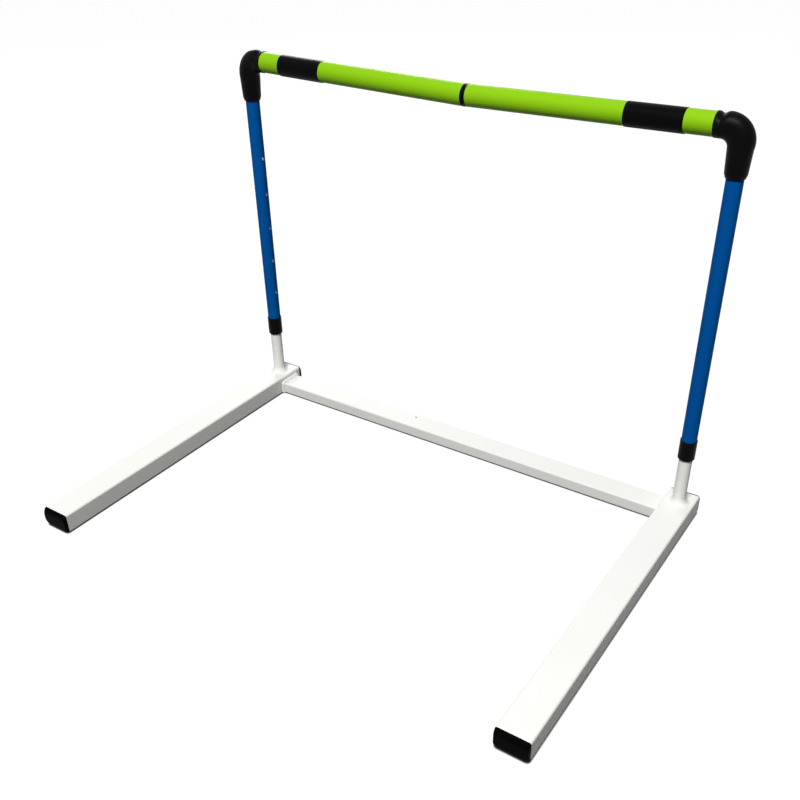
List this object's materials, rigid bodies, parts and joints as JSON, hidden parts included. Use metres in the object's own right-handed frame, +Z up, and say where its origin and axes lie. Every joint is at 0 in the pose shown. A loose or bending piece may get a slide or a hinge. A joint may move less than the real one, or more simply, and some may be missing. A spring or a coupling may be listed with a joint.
{
  "type": "speed hurdle",
  "caption": "Adjustable training hurdle: welded base rails, posts with sliding uprights, and a split bar whose halves swing away when hit and spring back.",
  "frame": {"origin": "on the floor, midway between the two base rails and midway along them", "axes": "+Z up; +X from the left rail to the right rail, seen from the rails' open front ends; +Y from the rails' front ends to the cross rail, posts and bar at the back"},
  "size_m": [1.06, 0.7232, 0.7693],
  "materials": {
    "white_paint": "gloss white powder coat on steel",
    "blue_paint": "satin blue powder coat on steel",
    "green_bar": "smooth lime green extruded plastic tube",
    "black_band": "smooth black wrap",
    "black_plastic": "fine moulded grain",
    "bright_steel": "bright zinc plated",
    "spring_steel": "oiled spring steel"
  },
  "bodies": {
    "base": {"cross_rail": "white_paint", "left_base_rail": "white_paint", "left_cross_rail_weld": "white_paint", "left_post": "white_paint", "left_post_weld": "white_paint", "left_front_cap": "black_plastic", "left_rear_cap": "black_plastic", "left_button_clip": "spring_steel", "right_base_rail": "white_paint", "right_cross_rail_weld": "white_paint", "right_post": "white_paint", "right_post_weld": "white_paint", "right_front_cap": "black_plastic", "right_rear_cap": "black_plastic", "right_button_clip": "spring_steel"},
    "left_upright": {"left_upright": "blue_paint", "left_lower_collar": "black_plastic", "left_pivot_plug": "black_plastic"},
    "left_arm": {"left_elbow": "black_plastic", "left_bar_collar": "black_plastic", "left_bar_tube": "green_bar", "left_bar_band": "black_band", "left_centre_cap": "black_plastic", "left_pivot_screw": "bright_steel", "left_return_spring": "spring_steel"},
    "left_button": {"left_snap_button": "bright_steel"},
    "right_upright": {"right_upright": "blue_paint", "right_lower_collar": "black_plastic", "right_pivot_plug": "black_plastic"},
    "right_arm": {"right_elbow": "black_plastic", "right_bar_collar": "black_plastic", "right_bar_tube": "green_bar", "right_bar_band": "black_band", "right_centre_cap": "black_plastic", "right_pivot_screw": "bright_steel", "right_return_spring": "spring_steel"},
    "right_button": {"right_snap_button": "bright_steel"}
  },
  "joints": [
    {"name": "left_height", "type": "slide", "parent": "base", "child": "left_upright", "axis": [0, 0, 1], "range_m": [0, 0.3048]},
    {"name": "left_swing", "type": "hinge", "parent": "left_upright", "child": "left_arm", "pos_m": [-0.5, 0.317, 0.748], "axis": [0, 0, 1], "range_deg": [-90, 90], "stiffness_Nm_per_rad": 2, "deforming": ["left_return_spring"]},
    {"name": "left_button_travel", "type": "slide", "parent": "base", "child": "left_button", "axis": [1, 0, 0], "range_m": [0, 0.0042], "stiffness_N_per_m": 800, "springref_m": 0.008, "deforming": ["left_button_clip"]},
    {"name": "right_height", "type": "slide", "parent": "base", "child": "right_upright", "axis": [0, 0, 1], "range_m": [0, 0.3048]},
    {"name": "right_swing", "type": "hinge", "parent": "right_upright", "child": "right_arm", "pos_m": [0.5, 0.317, 0.748], "axis": [0, 0, 1], "range_deg": [-90, 90], "stiffness_Nm_per_rad": 2, "deforming": ["right_return_spring"]},
    {"name": "right_button_travel", "type": "slide", "parent": "base", "child": "right_button", "axis": [-1, 0, 0], "range_m": [0, 0.0042], "stiffness_N_per_m": 800, "springref_m": 0.008, "deforming": ["right_button_clip"]}
  ]
}
